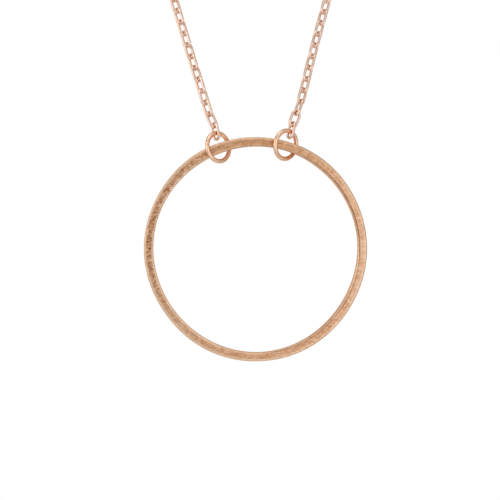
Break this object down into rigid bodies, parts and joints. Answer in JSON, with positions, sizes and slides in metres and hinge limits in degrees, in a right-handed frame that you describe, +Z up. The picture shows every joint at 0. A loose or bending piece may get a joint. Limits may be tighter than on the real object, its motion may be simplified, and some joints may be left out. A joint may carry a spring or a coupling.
{
  "type": "open circle pendant necklace",
  "caption": "Open circle pendant necklace: a flat brushed ring hung by two jump rings from a fine cable chain that closes at the nape with a spring ring clasp.",
  "frame": {"origin": "middle of the nape, where the loop hangs, between the clasp and its ring", "axes": "+Z up, -Y to the front of the wearer, +X to the right of the picture, which is the wearer's left"},
  "size_m": [0.0903, 0.0842, 0.1947],
  "materials": {
    "brushed_rose_gold": "brushed",
    "polished_rose_gold": "polished"
  },
  "bodies": {
    "root": {"chain_left": "polished_rose_gold", "chain_right": "polished_rose_gold", "clasp": "polished_rose_gold", "clasp_ring": "polished_rose_gold"},
    "pendant": {"circle_pendant": "brushed_rose_gold", "jump_ring_left": "polished_rose_gold", "jump_ring_right": "polished_rose_gold"}
  },
  "joints": [
    {"name": "pendant_swing", "type": "hinge", "parent": "root", "child": "pendant", "pos_m": [-0.00636, -0.0805, -0.15533], "axis": [0.9995, 0.0188, 0.0271], "range_deg": [-45, 40]}
  ]
}
